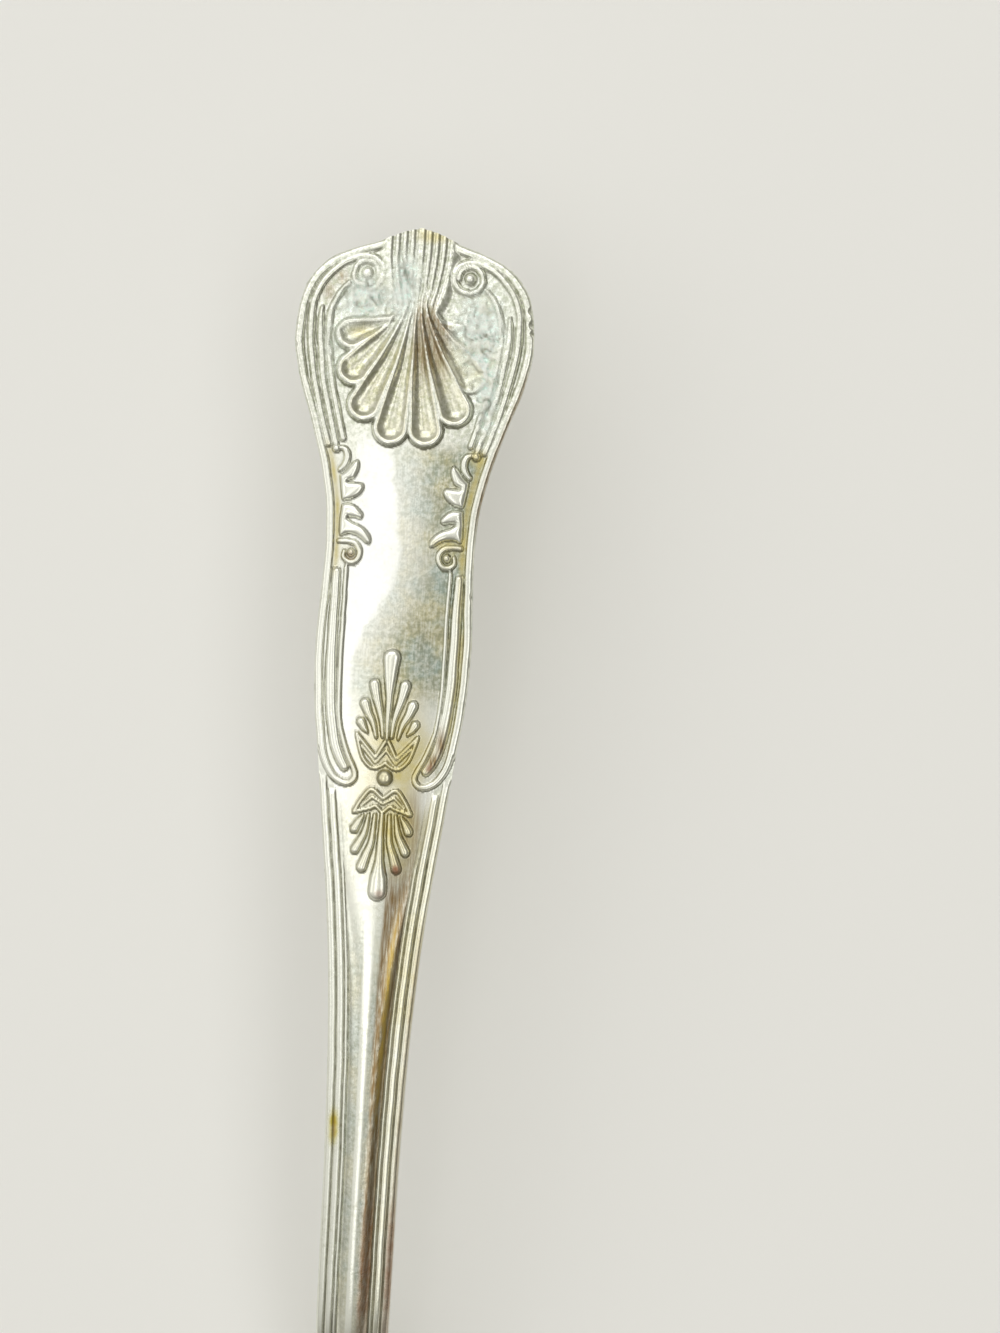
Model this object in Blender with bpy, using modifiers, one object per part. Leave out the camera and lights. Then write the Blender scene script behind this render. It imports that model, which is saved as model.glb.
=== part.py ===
"""Cake server in plated nickel silver: a die-struck handle with shell and palmette relief, and a
bevelled blade that three rivets fix under the handle's leaf-shaped palm.

Metres, +Z up. The server lies on its blade: the blade's underside is z = 0, the handle's end points
to +Y and the blade's tip to -Y. The origin is under the middle of the whole length.
"""

import math

import bmesh
import bpy
import numpy as np

MM = 0.001

# Driving dimensions, in millimetres.
TOTAL_LENGTH = 245.0
BLADE_LENGTH = 120.0
BLADE_WIDTH = 56.0
BLADE_THICKNESS = 1.5
BLADE_EDGE = 0.6
BLADE_BEVEL = 3.2
JOINT_GAP = 0.3
RIVET_SHANK_RADIUS = 1.2
RIVET_HEAD_RADIUS = 2.2
RIVET_HEAD_HEIGHT = 0.8
RIVET_SINK_DEPTH = 0.8
RIVET_FOOT_CLEARANCE = 0.05
PALM_TIP_RADIUS = 5.0

# The handle is drawn flat, in millimetres: s runs from the tip of the head along the handle to the
# end of the palm, u runs across from the centre line.
SHOULDER_U = 9.85
SHOULDER_S = 4.2
HEAD_TOP = (
    (0, 0), (1.6, 0.42), (3.1, 1.05), (4.4, 1.58), (6.0, 2.08), (8.2, 3.0), (9.2, 3.62), (9.85, 4.2)
)
HALF_WIDTH = (
    (4.2, 9.85), (5.0, 10.5), (6.3, 11.25), (9, 11.85), (11.5, 12.0), (15, 11.4), (20, 9.75), (25, 8.3),
    (29, 7.6), (32.5, 7.45), (37, 7.6), (42, 7.8), (47, 7.62), (53, 6.9), (60, 6.07), (68, 5.13),
    (75, 4.52), (85, 4.02), (97, 3.78), (110, 3.72), (119, 3.65), (126, 4.3), (133, 7.2), (140.5, 10.2),
    (147, 9.4), (154, 6.0), (157.5, 3.54),
)
PALM_CORNER_S = 157.5
THICKNESS = (
    (0, 1.9), (20, 2.2), (45, 2.6), (75, 3.3), (108, 3.7), (121, 3.3), (130, 2.2), (137, 1.5), (162, 1.4)
)
EDGE_SHARE = ((0, 0.6), (60, 0.6), (126, 0.6), (137, 0.3), (162, 0.3))
BACK_EDGE_SHARE = ((0, 0.7), (114, 0.6), (128, 0.9), (135, 1.0), (162, 1.0))
SLOPE_DEGREES = (
    (0, 9), (20, 6), (45, 0), (75, -3), (100, -6), (110, -10), (119, -42), (128, -42), (138, 0), (162, 0)
)
END_BLEND = 11.0

# Relief heights, in millimetres above the struck field.
REED = 0.34
PETAL = 0.5
SHELL_RIM = 0.7
SHELL_SCOOP = 0.55

# The sheets that the handle is struck from, before they are thinned to what their shape needs.
COLUMNS = 110
ORNAMENT_ROWS = 330
STEM_ROWS = 110
ORNAMENT_END_S = 72.0
HANDLE_TRIANGLES = 9600


def smooth_through(knots, x):
    """A smooth curve through a few (x, y) knots, flat where they turn, so it never swings past them."""
    kx, ky = np.array(knots, float).T
    rise = np.diff(ky) / np.diff(kx)
    product = np.clip(rise[:-1] * rise[1:], 0, None)
    mean = 2 * product / np.maximum(np.abs(rise[:-1] + rise[1:]), 1e-9) * np.sign(rise[1:])
    slope = np.r_[rise[0], mean, rise[-1]]
    x = np.clip(x, kx[0], kx[-1])
    i = np.clip(np.searchsorted(kx, x) - 1, 0, len(kx) - 2)
    step = kx[i + 1] - kx[i]
    t = (x - kx[i]) / step
    bend = step * (t * (1 - t) ** 2 * slope[i] - t * t * (1 - t) * slope[i + 1])
    return ky[i] + (ky[i + 1] - ky[i]) * t * t * (3 - 2 * t) + bend


def ease(x, start, end):
    """0 before start, 1 after end, smooth between."""
    t = np.clip((x - start) / (end - start), 0, 1)
    return t * t * (3 - 2 * t)


def curve_points(points, per_span):
    """Points along a smooth curve through the given (u, s) points."""
    p = np.array(points, float)
    p = np.vstack((2 * p[0] - p[1], p, 2 * p[-1] - p[-2]))
    t = np.linspace(0, 1, per_span, endpoint=False)[:, None]
    spans = [
        b + 0.5 * t * (c - a + t * (2 * a - 5 * b + 4 * c - d + t * (3 * b - a - 3 * c + d)))
        for a, b, c, d in zip(p, p[1:], p[2:], p[3:])
    ]
    return np.vstack((*spans, p[-2]))


def reach(u, s, path, radii):
    """Distance to the foot of a ridge along a path, below 0 inside it, and the ridge's radius there."""
    radii = np.interp(np.linspace(0, 1, len(path)), np.linspace(0, 1, len(radii)), radii)
    gap = np.full(u.shape, 1e9)
    radius = np.ones(u.shape)
    for p, q, a, b in zip(path, path[1:], radii, radii[1:]):
        d = q - p
        t = np.clip(((u - p[0]) * d[0] + (s - p[1]) * d[1]) / (d @ d), 0, 1)
        local = a + (b - a) * t
        off = np.hypot(u - p[0] - t * d[0], s - p[1] - t * d[1]) - local
        nearer = off < gap
        gap = np.where(nearer, off, gap)
        radius = np.where(nearer, local, radius)
    return gap, radius


def rounded(share, fullness=2.3):
    """The full top of a worn ridge: 1 on its crest, 0 at its foot."""
    return np.sqrt(np.clip(1 - np.abs(share) ** fullness, 0, None))


def ridge(u, s, path, radii, height, per_span=6):
    """A ridge along a curve."""
    gap, radius = reach(u, s, curve_points(path, per_span), radii)
    return height * rounded(np.clip(1 + gap / radius, 0, 1))


def bead(u, s, centre, radius, height):
    share = np.hypot(u - centre[0], s - centre[1]) / radius
    return height * np.sqrt(np.clip(1 - share**2, 0, None))


def half_width(s):
    return smooth_through(HALF_WIDTH, s)


def edge_threads(u, s):
    """The thread round the whole edge, and the two more and round middle that the stem adds."""
    top_u = np.linspace(0, SHOULDER_U, 30)
    side_s = np.linspace(SHOULDER_S, 130, 160)[1:]
    outline = np.vstack((
        np.column_stack((top_u, smooth_through(HEAD_TOP, top_u))),
        np.column_stack((half_width(side_s), side_s)),
    ))
    inset = reach(u, s, outline, [0])[0]
    wide = 0.42 - 0.03 * ease(s, 53, 58)
    at_hairpin = ease(s, 52.2, 53.2) * (1 - ease(s, 54.6, 56.2))
    first = REED * rounded((inset - wide) / wide, 3.5) * ease(u + 4 * (s > 3), 2.9, 3.6) * (1 - at_hairpin)
    second = REED * rounded((inset - 1.24) / 0.38, 3.5) * ease(s, 56.2, 57.4)
    third = 0.6 * REED * rounded((inset - 1.86) / 0.17) * ease(s, 62, 66)
    room = np.maximum(half_width(s) - 2.08, 0.6)
    crown = 0.8 * np.sqrt(np.clip(1 - (u / room) ** 2, 0, None)) * ease(s, 62, 82)
    return np.max((first, second, third, crown), axis=0) * (1 - ease(s, 116, 126))


def head_threads(u, s):
    """A thread that winds out of the scroll and down each side of the head, and two more inside it."""
    spiral = [
        (5.16 + (1.7 - 0.6 * t) * math.cos(math.radians(270 - 450 * t)),
         4.79 + (1.7 - 0.6 * t) * math.sin(math.radians(270 - 450 * t)))
        for t in np.linspace(0, 1, 14)
    ]
    outer = [
        (7.85, 22.2), (8.85, 19), (9.75, 15.5), (10.38, 12), (10.45, 9.5), (10.3, 7.8), (9.6, 6.0),
        (8.6, 4.72), (7.5, 3.8), (6.3, 3.3), *spiral,
    ]
    middle = [(9.4, 8.3), (9.5, 9.6), (9.4, 11.5), (8.75, 16), (7.95, 19), (7.15, 22)]
    inner = [
        (6.9, 5.9), (7.65, 6.8), (8.5, 8.7), (8.62, 10.8), (8.45, 13), (7.92, 16), (7.13, 19), (6.4, 21.6)
    ]
    return np.max((
        ridge(u, s, outer, [0.38, 0.38, 0.36, 0.34, 0.32, 0.24], 1.1 * REED),
        ridge(u, s, middle, [0.15, 0.38, 0.38, 0.36], REED),
        ridge(u, s, inner, [0.25, 0.34, 0.34, 0.34], REED),
        bead(u, s, (5.16, 4.79), 0.6, 1.1 * PETAL),
    ), axis=0)


def husk(u, s):
    """The shallow hollow between the head's outer and inner threads."""
    return ridge(u, s, [(6.8, 4.5), (8.0, 5.9), (9.3, 8.3)], [0.25, 0.6, 0.2], 0.25)


SHELL_FLUTES = (
    ([(0.5, -0.6), (0.48, 3), (0.38, 6), (0.24, 8.4), (0.8, 14), (1.72, 20.3)],
     [0.27, 0.27, 0.26, 0.22, 0.75, 1.45]),
    ([(1.26, -0.6), (1.22, 3), (1.0, 6), (0.74, 8.3), (2.2, 12.9), (4.5, 18.1)],
     [0.27, 0.27, 0.26, 0.22, 0.75, 1.42]),
    ([(2.02, -0.6), (1.96, 3), (1.62, 6), (1.26, 8.1), (3.15, 11.3), (5.8, 14.6)],
     [0.27, 0.27, 0.26, 0.22, 0.75, 1.4]),
    ([(2.78, -0.6), (2.7, 3), (2.25, 6), (1.78, 7.9), (1.7, 8.9)], [0.27, 0.27, 0.26, 0.2, 0.1]),
    ([(2.4, 9.5), (4.2, 10.35), (6.25, 11.1)], [0.12, 0.75, 1.32]),
)


def over_shell(u, s, relief):
    """The relief with the shell over it: scooped flutes that run down from the top edge through a waist
    and fan out into lobes."""
    gap = np.full(u.shape, 1e9)
    radius = np.ones(u.shape)
    for path, radii in SHELL_FLUTES:
        off, local = reach(u, s, curve_points(path, 8), radii)
        radius = np.where(off < gap, local, radius)
        gap = np.minimum(gap, off)
    low = ease(s, 6, 12)
    rim_height = SHELL_RIM * (0.62 + 0.38 * low)
    outside = np.clip(gap, 0, None)
    lobe_rim = rounded(outside / (0.32 + 0.12 * low))
    column_side = 1 - ease(outside, 0, 1.3)
    rim = rim_height * (lobe_rim + (1 - ease(s, 7.5, 10)) * (column_side - lobe_rim))
    bowl = np.clip((-gap / radius - 0.06) / 0.94, 0, 1)
    scoop = SHELL_SCOOP * np.minimum(radius / 0.8, 1) * (1 - (1 - bowl) ** 2)
    return np.where(gap < 0, rim_height - scoop, np.maximum(relief, rim))


LEAF_CLUMPS = (
    [(6.5, 25.3), (5.95, 24.85), (5.45, 24.2), (5.05, 23.8), (4.72, 23.72), (4.52, 24.25), (4.68, 24.95),
     (5.0, 25.55), (5.62, 25.9), (4.92, 25.92), (4.25, 25.95), (3.9, 26.35), (4.2, 27.0), (4.9, 27.55),
     (5.6, 27.78), (6.12, 27.72), (6.35, 26.5)],
    [(6.1, 28.15), (5.4, 28.05), (4.75, 28.2), (4.2, 28.65), (3.85, 29.15), (4.05, 29.55), (4.65, 29.5),
     (5.35, 29.42), (4.95, 29.82), (4.05, 30.2), (3.35, 30.75), (2.92, 31.4), (2.98, 31.97), (3.45, 31.9),
     (4.0, 31.47), (4.65, 31.15), (5.4, 31.12), (6.1, 31.3), (6.2, 29.7)],
)
LEAF_SHOULDER = 0.5


def flat_lobes(u, s, outline, height):
    """A flat-topped shape with round shoulders inside a closed smooth outline."""
    outline = curve_points(outline, 5)
    outline = np.vstack((outline, outline[0]))
    inside = np.zeros(u.shape, bool)
    for (u0, s0), (u1, s1) in zip(outline, outline[1:]):
        if s0 != s1:
            inside ^= ((s0 > s) != (s1 > s)) & (u < u0 + (u1 - u0) * (s - s0) / (s1 - s0))
    depth = np.where(inside, reach(u, s, outline, [0])[0], 0)
    return height * rounded(1 - np.clip(depth / LEAF_SHOULDER, 0, 1))


def leaf(u, s):
    """The leaf at the waist: a bead, a curled lobe, two clumps of flat pointed lobes, and a small scroll."""
    curl = [(6.5, 22.55), (6.05, 22.8), (5.85, 23.5), (6.05, 24.25), (6.5, 24.8)]
    coil = [
        (6.1, 31.85), (5.3, 31.8), (4.45, 32.0), (3.95, 32.8), (4.25, 33.65), (4.95, 33.85), (5.55, 33.4),
        (5.5, 32.8),
    ]
    return np.max((
        *(flat_lobes(u, s, clump, 0.95 * PETAL) for clump in LEAF_CLUMPS),
        ridge(u, s, curl, [0.24, 0.34, 0.38, 0.34, 0.24], 0.8 * PETAL),
        ridge(u, s, coil, [0.26, 0.3, 0.3, 0.26, 0.2], REED),
        bead(u, s, (7.03, 22.6), 0.38, PETAL),
        bead(u, s, (4.8, 32.9), 0.42, PETAL),
    ), axis=0)


def panel_hem(u, s):
    """The edge thread, which turns in under a broad round tongue and runs up again inside it."""
    tongue = [(6.15, 34.9), (6.1, 44), (5.88, 48), (5.3, 51.6), (4.62, 53.4), (4.1, 54.25)]
    hairpin = [
        (5.2, 34.4), (5.17, 40), (5.15, 46), (4.9, 49.6), (4.45, 51.4), (3.8, 53.1), (3.3, 54.1),
        (2.98, 54.95), (3.24, 55.6), (3.9, 55.88), (4.75, 55.6), (5.4, 55), (5.95, 54.1), (6.4, 52.8),
        (6.72, 51),
    ]
    return np.maximum(
        ridge(u, s, tongue, [0.46, 0.58, 0.58, 0.56, 0.48], 1.25 * REED),
        ridge(u, s, hairpin, [0.22, 0.24, 0.3, 0.38, 0.4], REED),
    )


PETALS = (
    ([(0, 51.2), (0, 49.2), (0, 47), (0, 45), (0, 43.15)], [0.22, 0.33, 0.42, 0.7, 0.9]),
    ([(0.45, 51), (0.64, 49.35), (1.22, 47.3), (1.55, 45.85)], [0.2, 0.3, 0.46, 0.58]),
    ([(1.1, 51.1), (1.49, 49.7), (2.02, 48.74), (2.4, 47.75)], [0.18, 0.32, 0.42, 0.55]),
    ([(1.99, 50.7), (2.4, 50.2), (2.72, 49.66)], [0.12, 0.35, 0.48]),
    ([(0, 58.8), (0, 61), (0, 63.5), (0, 65.3), (0, 66.5)], [0.25, 0.33, 0.5, 0.92, 1.02]),
    ([(0.72, 58.9), (0.9, 61.5), (1.35, 63), (1.74, 64.2)], [0.2, 0.34, 0.46, 0.56]),
    ([(1.36, 58.9), (1.66, 60.6), (2.1, 61.6), (2.52, 62.45)], [0.18, 0.34, 0.42, 0.5]),
    ([(1.91, 59.0), (2.3, 59.6), (2.73, 60.4)], [0.14, 0.36, 0.48]),
)


def palmettes(u, s):
    """A palmette up the panel and another down the stem, each from a zigzag band, with a bead between."""
    petals = [ridge(u, s, path, radii, PETAL * (0.7 + 0.4 * radii[-1])) for path, radii in PETALS]
    crown_foot = [(0, 53.6), (0.55, 54.0), (1.2, 54.2), (1.9, 53.75), (2.45, 52.9), (3.05, 51)]
    bands = (
        ridge(u, s, [(0, 51.2), (1.05, 53.15), (3.05, 50.9)], [0.22], REED, per_span=1),
        ridge(u, s, crown_foot, [0.2], REED),
        ridge(u, s, [(0, 52.35), (1.02, 53.7), (2.45, 52.1)], [0.15], 0.7 * REED, per_span=1),
        ridge(u, s, [(0, 57.2), (1.2, 56.35), (2.1, 57.3), (2.85, 58.65)], [0.22], REED),
        ridge(u, s, [(0, 57.75), (1.1, 57.1), (2.15, 58.1)], [0.14], 0.7 * REED, per_span=1),
        ridge(u, s, [(0, 58.6), (0.7, 58.0), (1.3, 58.25), (2.8, 58.7)], [0.2], REED),
    )
    return np.max((*petals, *bands, bead(u, s, (0, 55.1), 0.82, 1.1 * PETAL)), axis=0)


def front_relief(u, s):
    """The whole front die: every motif is drawn once, for both sides."""
    u = np.abs(u)
    relief = np.maximum(edge_threads(u, s), head_threads(u, s)) - husk(u, s)
    return np.max((over_shell(u, s, relief), leaf(u, s), panel_hem(u, s), palmettes(u, s)), axis=0)


def back_relief(u, s):
    """The back has the edge threads and a plain field."""
    return 0.7 * edge_threads(np.abs(u), s)


def handle_path():
    """(s, y, z, slope) along the handle's middle, rising from the palm on the blade."""
    s = np.linspace(0, PALM_CORNER_S + 5, 1200)
    slope = np.radians(smooth_through(SLOPE_DEGREES, s))
    step = np.gradient(s)
    y = -np.cumsum(np.cos(slope) * step)
    z = np.cumsum(np.sin(slope) * step)
    y += TOTAL_LENGTH / 2 - y[0]
    z += BLADE_THICKNESS + JOINT_GAP + smooth_through(THICKNESS, s[-1]) / 2 - z[-1]
    return s, y, z, slope


def palm_height(y):
    """The palm's top over its middle line, in millimetres."""
    s, path_y, path_z, _ = handle_path()
    at = np.interp(-y, -path_y, s)
    return float(np.interp(at, s, path_z) + smooth_through(THICKNESS, at) / 2)


def to_space(u, s, height):
    """Points of the handle in metres, from their place on the flat drawing and height off its middle."""
    path_s, path_y, path_z, path_slope = handle_path()
    y, z, slope = (np.interp(s, path_s, line) for line in (path_y, path_z, path_slope))
    return np.column_stack((u, y + height * np.sin(slope), z + height * np.cos(slope))) * MM


def sheet_places(rows, columns):
    """The flat (u, s) places of a sheet's points, whose ends follow the head's top and the palm's tip."""
    across = columns * half_width(rows)
    head_lift = SHOULDER_S - smooth_through(HEAD_TOP, np.abs(columns) * SHOULDER_U)
    tip_centre = PALM_CORNER_S - PALM_TIP_RADIUS * math.cos(math.pi / 4)
    corner_u = PALM_TIP_RADIUS * math.sin(math.pi / 4)
    palm_lift = tip_centre + np.sqrt(PALM_TIP_RADIUS**2 - (columns * corner_u) ** 2) - PALM_CORNER_S
    along = rows - head_lift * (1 - ease(rows, SHOULDER_S, SHOULDER_S + END_BLEND))
    return across, along + palm_lift * ease(rows, PALM_CORNER_S - END_BLEND, PALM_CORNER_S)


def struck_sheet(bm, side):
    """One struck face of the handle: side is 1 for the front and -1 for the back."""
    rows = np.r_[
        np.linspace(SHOULDER_S, ORNAMENT_END_S, ORNAMENT_ROWS, endpoint=False),
        np.linspace(ORNAMENT_END_S, PALM_CORNER_S, STEM_ROWS + 1),
    ]
    made = bmesh.ops.create_grid(bm, x_segments=COLUMNS, y_segments=len(rows) - 1, size=1)["verts"]
    flat = np.array([v.co for v in made])
    columns = flat[:, 0]
    row = rows[np.rint((flat[:, 1] + 1) / 2 * (len(rows) - 1)).astype(int)]
    u, s = sheet_places(row, columns)
    share = smooth_through(EDGE_SHARE if side > 0 else BACK_EDGE_SHARE, s)
    dome = share + (1 - share) * (1 - columns**2)
    relief = front_relief(u, s) if side > 0 else back_relief(u, s)
    height = side * (smooth_through(THICKNESS, s) / 2 * dome + relief)
    for v, place in zip(made, to_space(u, s, height)):
        v.co = place


def finish(name, metal):
    material = bpy.data.materials.new(name + "_metal")
    material.use_nodes = True
    shader = material.node_tree.nodes["Principled BSDF"]
    shader.inputs["Base Color"].default_value = (*metal["colour"], 1)
    shader.inputs["Metallic"].default_value = 1.0
    shader.inputs["Roughness"].default_value = metal["roughness"]
    return material


SILVER_PLATE = {"colour": (0.78, 0.76, 0.69), "roughness": 0.24}
POLISHED_PLATE = {"colour": (0.8, 0.79, 0.74), "roughness": 0.18}
NICKEL_SILVER = {"colour": (0.72, 0.69, 0.6), "roughness": 0.3}


def new_object(name, bm, collection, metal=None):
    mesh = bpy.data.meshes.new(name)
    bmesh.ops.recalc_face_normals(bm, faces=bm.faces[:])
    bm.to_mesh(mesh)
    bm.free()
    obj = bpy.data.objects.new(name, mesh)
    collection.objects.link(obj)
    if metal:
        mesh.materials.append(finish(name, metal))
    return obj


def cut(obj, cutter):
    boolean = obj.modifiers.new("hole_" + cutter.name, "BOOLEAN")
    boolean.operation = "DIFFERENCE"
    boolean.object = cutter


def make_handle(collection):
    """Two struck faces bridged round their edge, thinned to the triangles that the relief needs."""
    bm = bmesh.new()
    struck_sheet(bm, 1)
    struck_sheet(bm, -1)
    bmesh.ops.bridge_loops(bm, edges=[e for e in bm.edges if e.is_boundary])
    triangles = sum(len(f.verts) - 2 for f in bm.faces)
    handle = new_object("handle", bm, collection, SILVER_PLATE)
    thin = handle.modifiers.new("thin", "DECIMATE")
    thin.ratio = HANDLE_TRIANGLES / triangles
    thin.use_symmetry = True
    thin.symmetry_axis = "X"
    thin.use_collapse_triangulate = True
    return handle


def blade_outline():
    """The blade's outline as a closed curve: narrow heel, round shoulders, long taper, round tip."""
    half = BLADE_WIDTH / 2
    tip = -TOTAL_LENGTH / 2
    heel = tip + BLADE_LENGTH
    right = (
        (0.2 * half, heel - 1.2), (0.5 * half, heel - 8), (0.88 * half, heel - 20), (half, heel - 36),
        (0.84 * half, heel - 64), (0.55 * half, heel - 93), (0.25 * half, tip + 6),
    )
    left = [(-x, y) for x, y in reversed(right)]
    curve = bpy.data.curves.new("blade_outline", "CURVE")
    curve.dimensions = "2D"
    curve.fill_mode = "NONE"
    curve.resolution_u = 10
    spline = curve.splines.new("BEZIER")
    points = [*right, (0, tip), *left]
    spline.bezier_points.add(len(points) - 1)
    for point, (x, y) in zip(spline.bezier_points, points):
        point.co = (x * MM, y * MM, 0)
        point.handle_left_type = point.handle_right_type = "AUTO"
    spline.use_cyclic_u = True
    return bpy.data.objects.new("blade_outline", curve)


def make_blade(collection):
    """A flat plate whose upper face slopes down to a thin edge all round."""
    outline = blade_outline()
    collection.objects.link(outline)
    graph = bpy.context.evaluated_depsgraph_get()
    flat = bpy.data.meshes.new_from_object(outline.evaluated_get(graph))
    bpy.data.objects.remove(outline)
    bm = bmesh.new()
    bm.from_mesh(flat)
    bmesh.ops.remove_doubles(bm, verts=bm.verts[:], dist=0.01 * MM)
    bottom = bmesh.ops.contextual_create(bm, geom=bm.edges[:])["faces"]
    raised = bmesh.ops.extrude_face_region(bm, geom=bottom)["geom"]
    top = [f for f in raised if isinstance(f, bmesh.types.BMFace)]
    top_points = {v for f in top for v in f.verts}
    bmesh.ops.translate(bm, verts=list(top_points), vec=(0, 0, BLADE_EDGE * MM))
    rise = (BLADE_THICKNESS - BLADE_EDGE) * MM
    bmesh.ops.inset_region(bm, faces=top, thickness=BLADE_BEVEL * MM, depth=rise, use_even_offset=True)
    return new_object("blade", bm, collection, POLISHED_PLATE)


def turned(name, profile, collection, metal=None):
    """A solid of revolution from a profile of (radius, height) points, top to bottom."""
    bm = bmesh.new()
    points = [bm.verts.new((r * MM, 0, z * MM)) for r, z in profile]
    for a, b in zip(points, points[1:]):
        bm.edges.new((a, b))
    obj = new_object(name, bm, collection, metal)
    screw = obj.modifiers.new("turn", "SCREW")
    screw.steps = screw.render_steps = 24
    screw.use_merge_vertices = True
    screw.merge_threshold = 0.00001
    screw.use_smooth_shade = True
    return obj


def rivet_profile(seat):
    """A low round head over the palm, a shank, and a countersunk foot just clear of the table."""
    head_base = seat + JOINT_GAP
    dome = [
        (RIVET_HEAD_RADIUS * math.sin(a), head_base + RIVET_HEAD_HEIGHT * math.cos(a))
        for a in np.linspace(0, math.pi / 2, 6)
    ]
    foot = RIVET_FOOT_CLEARANCE
    sink = foot + RIVET_SINK_DEPTH
    foot_radius = RIVET_SHANK_RADIUS + RIVET_SINK_DEPTH
    shank = [(RIVET_SHANK_RADIUS, head_base), (RIVET_SHANK_RADIUS, sink)]
    return [*dome, *shank, (foot_radius, foot), (0, foot)]


def hole_profile(seat):
    """The clearance round a rivet, open above the palm and below the blade."""
    radius = RIVET_SHANK_RADIUS + JOINT_GAP
    above, below = seat + 3, -1.0
    sink = RIVET_FOOT_CLEARANCE + RIVET_SINK_DEPTH
    mouth = radius + sink - below
    return [(0, above), (radius, above), (radius, sink), (mouth, below), (0, below)]


def make_rivets(collection, cutters, palm_bodies):
    """Two rivets across the palm and one towards its tip."""
    heel = -TOTAL_LENGTH / 2 + BLADE_LENGTH
    places = {
        "rivet_left": (-4.6, heel - 10), "rivet_right": (4.6, heel - 10), "rivet_front": (0, heel - 20.5)
    }
    for name, (x, y) in places.items():
        seat = palm_height(y)
        rivet = turned(name, rivet_profile(seat), collection, NICKEL_SILVER)
        cutter = turned("cutter_" + name, hole_profile(seat), cutters)
        cutter.hide_render = True
        cutter.display_type = "WIRE"
        rivet.location = cutter.location = (x * MM, y * MM, 0)
        for body in palm_bodies:
            cut(body, cutter)


def new_collection(name):
    collection = bpy.data.collections.new(name)
    bpy.context.scene.collection.children.link(collection)
    return collection


def main():
    for obj in list(bpy.data.objects):
        bpy.data.objects.remove(obj)
    server = new_collection("cake_server")
    cutters = new_collection("cutters")
    handle = make_handle(server)
    blade = make_blade(server)
    make_rivets(server, cutters, (handle, blade))
    for obj in server.objects:
        obj.data.shade_smooth()
        obj.data.set_sharp_from_angle(angle=math.radians(35))


main()
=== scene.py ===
import math

import bmesh
import bpy
import numpy as np
from mathutils import Matrix, Vector, noise


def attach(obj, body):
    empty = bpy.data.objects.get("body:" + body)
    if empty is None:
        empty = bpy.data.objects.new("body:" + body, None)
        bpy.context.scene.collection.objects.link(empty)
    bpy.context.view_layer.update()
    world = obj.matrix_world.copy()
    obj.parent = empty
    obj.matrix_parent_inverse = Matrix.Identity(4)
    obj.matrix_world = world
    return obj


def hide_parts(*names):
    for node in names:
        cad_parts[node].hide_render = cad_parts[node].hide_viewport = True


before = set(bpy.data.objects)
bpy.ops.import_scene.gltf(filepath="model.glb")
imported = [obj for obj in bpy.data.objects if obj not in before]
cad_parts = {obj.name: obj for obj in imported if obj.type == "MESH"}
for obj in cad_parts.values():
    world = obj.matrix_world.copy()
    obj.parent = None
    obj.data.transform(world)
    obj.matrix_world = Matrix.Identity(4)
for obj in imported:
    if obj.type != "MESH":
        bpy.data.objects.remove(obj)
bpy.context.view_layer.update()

# Handle: one strip of nickel silver, cut to outline, struck between two dies so that the front takes
# its shell, leaves and palmettes, then bent to an arch and silver plated. Years of polishing have
# rubbed the crests bright and left tarnish in every groove.

MM = 0.001
TOTAL_LENGTH = 245.0
BLADE_THICKNESS = 1.5
JOINT_GAP = 0.3
PALM_TIP_RADIUS = 5.0
SHOULDER_S = 4.2
SHOULDER_U = 9.85
PALM_CORNER_S = 157.5
END_BLEND = 11.0
HEAD_TOP = (
    (0, 0), (1.6, 0.42), (3.1, 1.05), (4.4, 1.58), (6.0, 2.08), (8.2, 3.0), (9.2, 3.62),
    (SHOULDER_U, SHOULDER_S),
)
HALF_WIDTH = (
    (SHOULDER_S, SHOULDER_U), (5.0, 10.5), (6.3, 11.25), (9, 11.85), (11.5, 12.0), (15, 11.4), (20, 9.75),
    (25, 8.3), (29, 7.6), (32.5, 7.45), (37, 7.6), (42, 7.8), (47, 7.62), (53, 6.9), (60, 6.07), (68, 5.13),
    (75, 4.52), (85, 4.02), (97, 3.78), (110, 3.72), (119, 3.65), (126, 4.3), (133, 7.2), (140.5, 10.2),
    (147, 9.4), (154, 6.0), (PALM_CORNER_S, 3.54),
)
THICKNESS = (
    (0, 1.9), (20, 2.2), (45, 2.6), (75, 3.3), (108, 3.7), (121, 3.3), (130, 2.2), (137, 1.5), (162, 1.4)
)
EDGE_SHARE = ((0, 0.6), (60, 0.6), (126, 0.6), (137, 0.3), (162, 0.3))
BACK_EDGE_SHARE = ((0, 0.7), (114, 0.6), (128, 0.9), (135, 1.0), (162, 1.0))
SLOPE_DEGREES = (
    (0, 9), (20, 6), (45, 0), (75, -3), (100, -6), (110, -10), (119, -42), (128, -42), (138, 0), (162, 0)
)
REED = 0.34
PETAL = 0.5
SHELL_RIM = 0.7
SHELL_SCOOP = 0.55
ROUND_INSET = 2.08
COLUMNS = 180
PATH_STEPS = 1200
ROW_SPANS = ((SHOULDER_S, 34, 206), (34, 42, 36), (42, 68, 172), (68, 112, 49), (112, PALM_CORNER_S, 32))


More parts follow.
